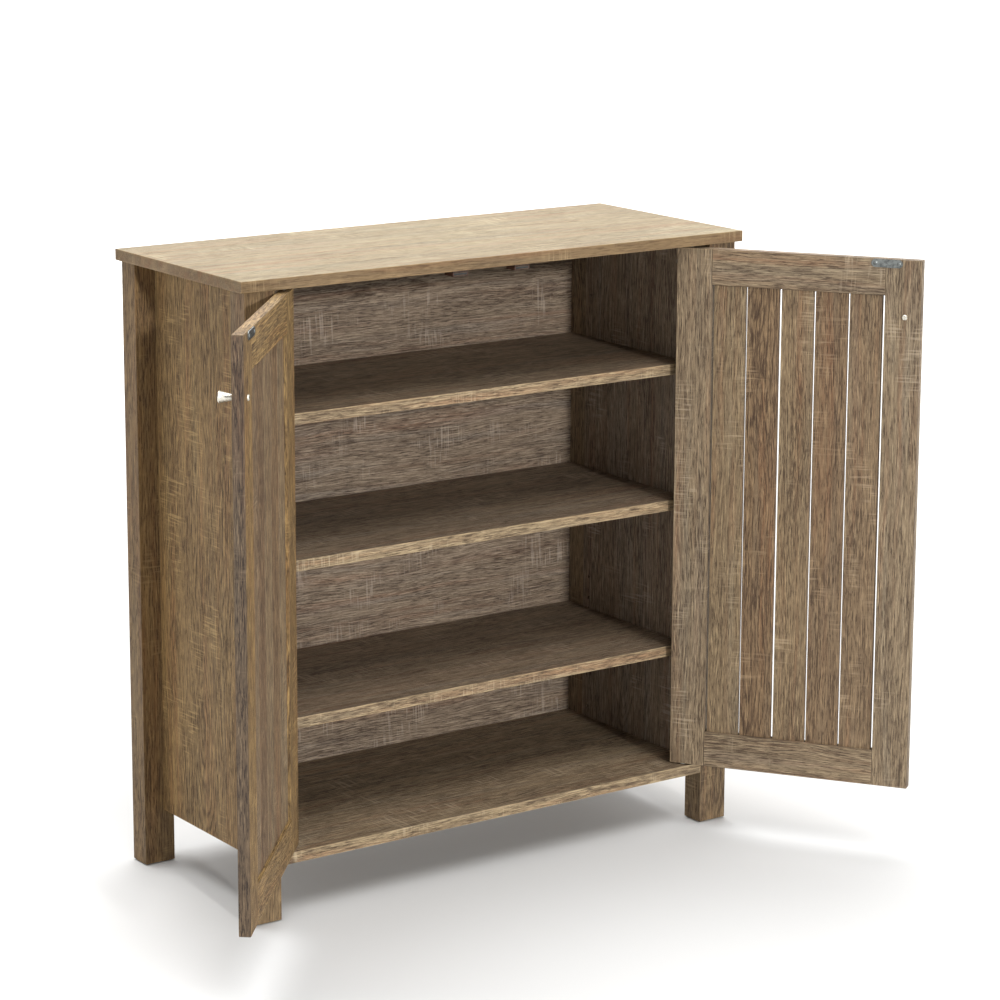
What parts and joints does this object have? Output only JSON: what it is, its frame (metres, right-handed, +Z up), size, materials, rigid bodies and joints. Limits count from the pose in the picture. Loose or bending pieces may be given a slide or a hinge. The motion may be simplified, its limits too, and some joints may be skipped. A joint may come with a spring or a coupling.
{
  "type": "shoe cabinet",
  "caption": "Low shoe cabinet with recessed side panels, fixed shelf bays and a pair of slatted doors that swing on pivot pins.",
  "frame": {"origin": "on the floor, under the middle of the whole outline with both doors open as drawn", "axes": "+X along the width to the viewer's right when facing the doors, +Y from front to back, +Z up"},
  "size_m": [1.0738, 0.5818, 0.85],
  "materials": {
    "laminate": "matt weathered-oak foil with printed grain",
    "dowel_wood": "bare fluted-free beech dowel",
    "zinc_steel": "bright zinc",
    "strike_steel": "dull grey zinc",
    "cam_zinc": "die-cast zinc",
    "satin_nickel": "satin nickel",
    "brown_plastic": "moulded, dark brown",
    "magnet": "sintered ferrite",
    "nylon": "off-white nylon"
  },
  "bodies": {
    "carcass": {"top_panel": "laminate", "front_left_post": "laminate", "front_right_post": "laminate", "back_left_post": "laminate", "back_right_post": "laminate", "left_side_panel": "laminate", "right_side_panel": "laminate", "bottom_panel": "laminate", "back_panel": "laminate", "upper_shelf": "laminate", "middle_shelf": "laminate", "lower_shelf": "laminate", "shelf_pins": "zinc_steel", "carcass_dowels": "dowel_wood", "cam_bolts": "zinc_steel", "cam_nuts": "cam_zinc", "back_nails": "zinc_steel", "foot_glides": "nylon", "left_catch_body": "brown_plastic", "left_catch_magnet": "magnet", "left_catch_poles": "zinc_steel", "right_catch_body": "brown_plastic", "right_catch_magnet": "magnet", "right_catch_poles": "zinc_steel", "catch_screws": "zinc_steel", "left_pivot_bushings": "nylon", "right_pivot_bushings": "nylon"},
    "left_door": {"left_hinge_stile": "laminate", "left_free_stile": "laminate", "left_top_rail": "laminate", "left_bottom_rail": "laminate", "left_slat_1": "laminate", "left_slat_2": "laminate", "left_slat_3": "laminate", "left_slat_4": "laminate", "left_slat_5": "laminate", "left_door_dowels": "dowel_wood", "left_pivot_pins": "zinc_steel", "left_knob": "satin_nickel", "left_knob_screw": "zinc_steel", "left_strike_plate": "strike_steel", "left_strike_screws": "zinc_steel"},
    "right_door": {"right_hinge_stile": "laminate", "right_free_stile": "laminate", "right_top_rail": "laminate", "right_bottom_rail": "laminate", "right_slat_1": "laminate", "right_slat_2": "laminate", "right_slat_3": "laminate", "right_slat_4": "laminate", "right_slat_5": "laminate", "right_door_dowels": "dowel_wood", "right_pivot_pins": "zinc_steel", "right_knob": "satin_nickel", "right_knob_screw": "zinc_steel", "right_strike_plate": "strike_steel", "right_strike_screws": "zinc_steel"}
  },
  "joints": [
    {"name": "left_door_hinge", "type": "hinge", "parent": "carcass", "child": "left_door", "pos_m": [-0.31452, -0.01891, 0.4615], "axis": [0, 0, -1], "range_deg": [-131, 1.5]},
    {"name": "right_door_hinge", "type": "hinge", "parent": "carcass", "child": "right_door", "pos_m": [0.33848, -0.01891, 0.4615], "axis": [0, 0, 1], "range_deg": [-125, 7.5]}
  ]
}
